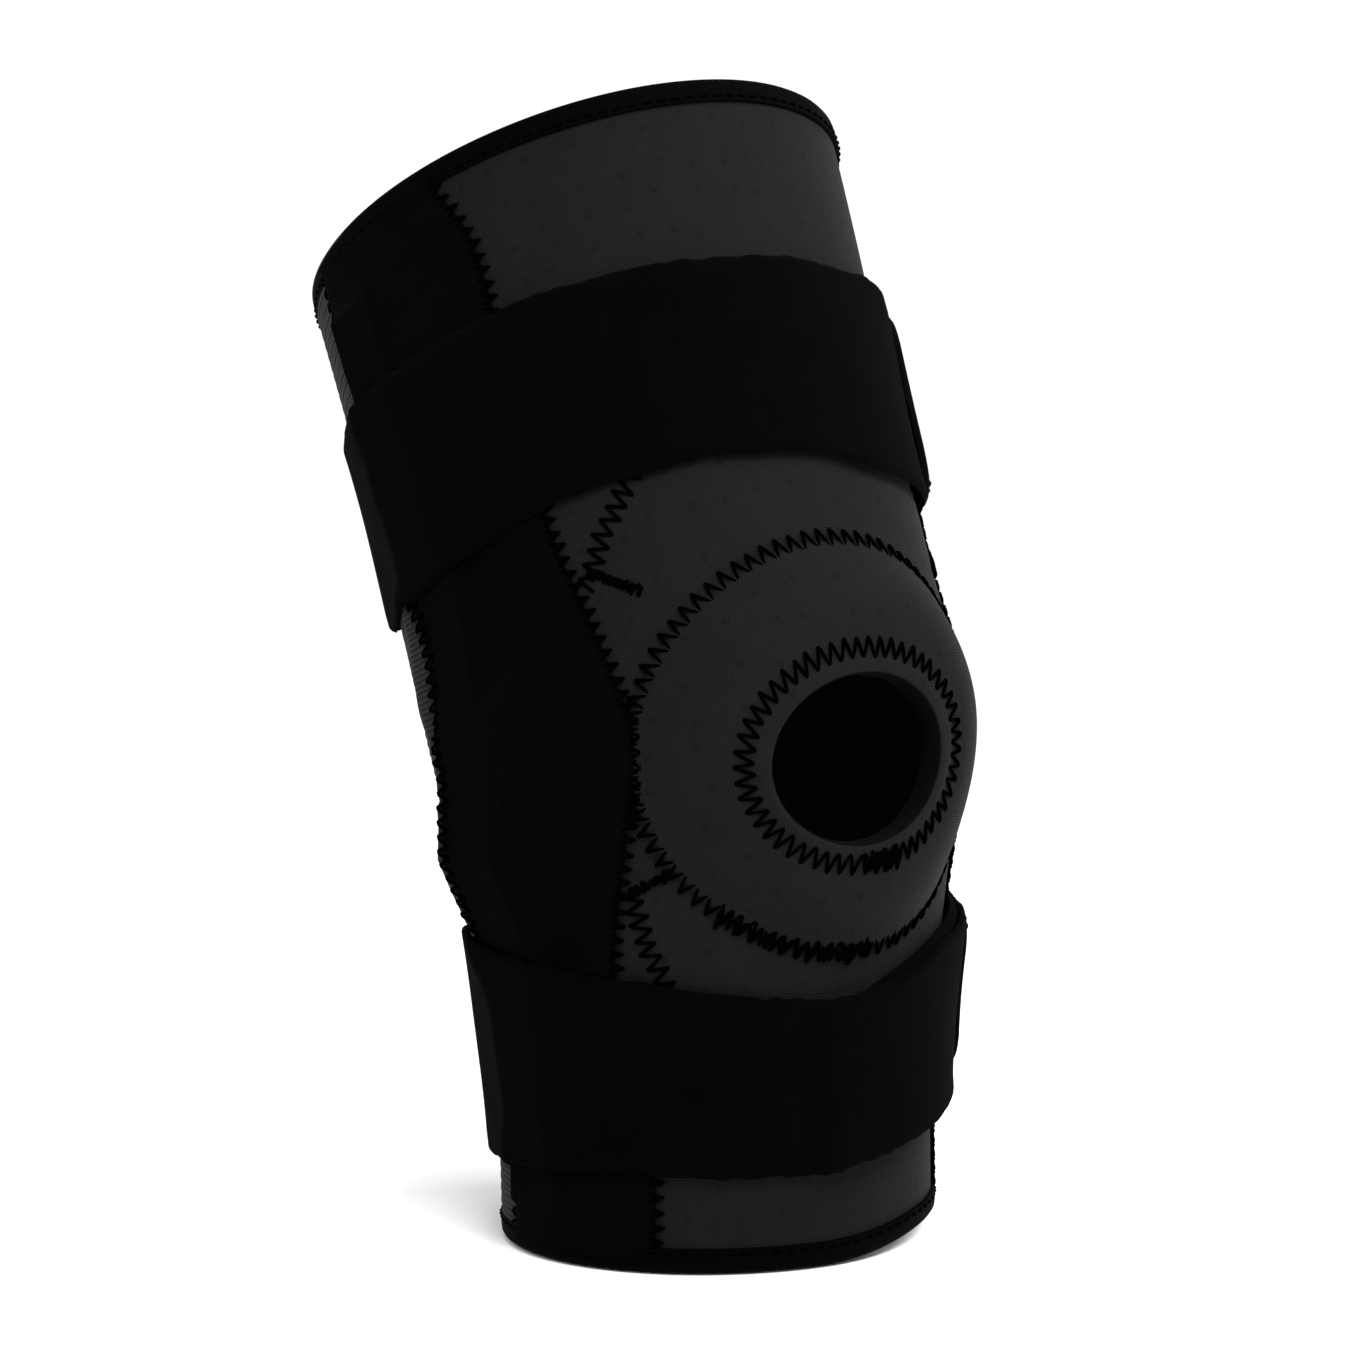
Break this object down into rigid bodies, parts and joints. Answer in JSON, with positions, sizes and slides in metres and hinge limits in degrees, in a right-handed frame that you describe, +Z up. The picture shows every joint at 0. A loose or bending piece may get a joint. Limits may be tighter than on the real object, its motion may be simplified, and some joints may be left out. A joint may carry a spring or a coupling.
{
  "type": "hinged knee brace",
  "caption": "Pull-on knee brace: foam sleeve with an open kneecap ring, hinged uprights in side pockets, and two hook-and-loop straps.",
  "frame": {"origin": "centre of the calf rim, on the surface the brace stands on", "axes": "+Z up along the calf, -Y to the front of the knee, -X to the outer side of the leg; the hinge axis is parallel to X"},
  "size_m": [0.1526, 0.1862, 0.2893],
  "materials": {
    "foam_fabric": "matt knit face over foam rubber",
    "ribbed_fabric": "ribbed stretch knit",
    "binding_tape": "woven edge tape",
    "strap_loop": "brushed loop face",
    "hook_tape": "hook tape",
    "felt_pad": "pressed felt",
    "pocket_loop": "brushed loop face",
    "upright_metal": "satin",
    "hinge_steel": "brushed",
    "nylon": "smooth nylon",
    "stop_rubber": "moulded",
    "pad_foam": "closed-cell foam"
  },
  "bodies": {
    "calf": {"calf_front_panel": "foam_fabric", "calf_back_panel": "ribbed_fabric", "popliteal_panel": "ribbed_fabric", "knee_front_panel": "foam_fabric", "patella_cover": "foam_fabric", "bottom_binding": "binding_tape", "calf_strap": "strap_loop", "calf_strap_tab": "hook_tape", "lateral_calf_upright": "upright_metal", "lateral_inner_cheek": "hinge_steel", "lateral_outer_cheek": "hinge_steel", "lateral_hinge_liners": "nylon", "lateral_hinge_pin": "hinge_steel", "lateral_hinge_rivets": "hinge_steel", "lateral_extension_stop": "stop_rubber", "lateral_condyle_pad": "pad_foam", "lateral_calf_pocket": "pocket_loop", "lateral_knee_pocket": "pocket_loop", "medial_calf_upright": "upright_metal", "medial_inner_cheek": "hinge_steel", "medial_outer_cheek": "hinge_steel", "medial_hinge_liners": "nylon", "medial_hinge_pin": "hinge_steel", "medial_hinge_rivets": "hinge_steel", "medial_extension_stop": "stop_rubber", "medial_condyle_pad": "pad_foam", "medial_calf_pocket": "pocket_loop", "medial_knee_pocket": "pocket_loop"},
    "thigh": {"thigh_front_panel": "foam_fabric", "thigh_back_panel": "ribbed_fabric", "top_binding": "binding_tape", "thigh_strap": "strap_loop", "thigh_strap_tab": "hook_tape", "lateral_thigh_upright": "upright_metal", "lateral_thigh_pocket": "pocket_loop", "medial_thigh_upright": "upright_metal", "medial_thigh_pocket": "pocket_loop"},
    "patella_ring": {"patella_buttress": "felt_pad"}
  },
  "joints": [
    {"name": "knee_flexion", "type": "hinge", "parent": "calf", "child": "thigh", "pos_m": [0, 0, 0.122], "axis": [-1, 0, 0], "range_deg": [-27, 58], "deforming": ["knee_front_panel", "popliteal_panel", "patella_cover", "lateral_knee_pocket", "medial_knee_pocket"]},
    {"name": "kneecap_follow", "type": "hinge", "parent": "calf", "child": "patella_ring", "pos_m": [0, 0, 0.122], "axis": [-1, 0, 0], "range_deg": [-9.8, 21]}
  ],
  "couplings": [
    {"joint": "kneecap_follow", "follows": "knee_flexion", "ratio": 0.36}
  ]
}
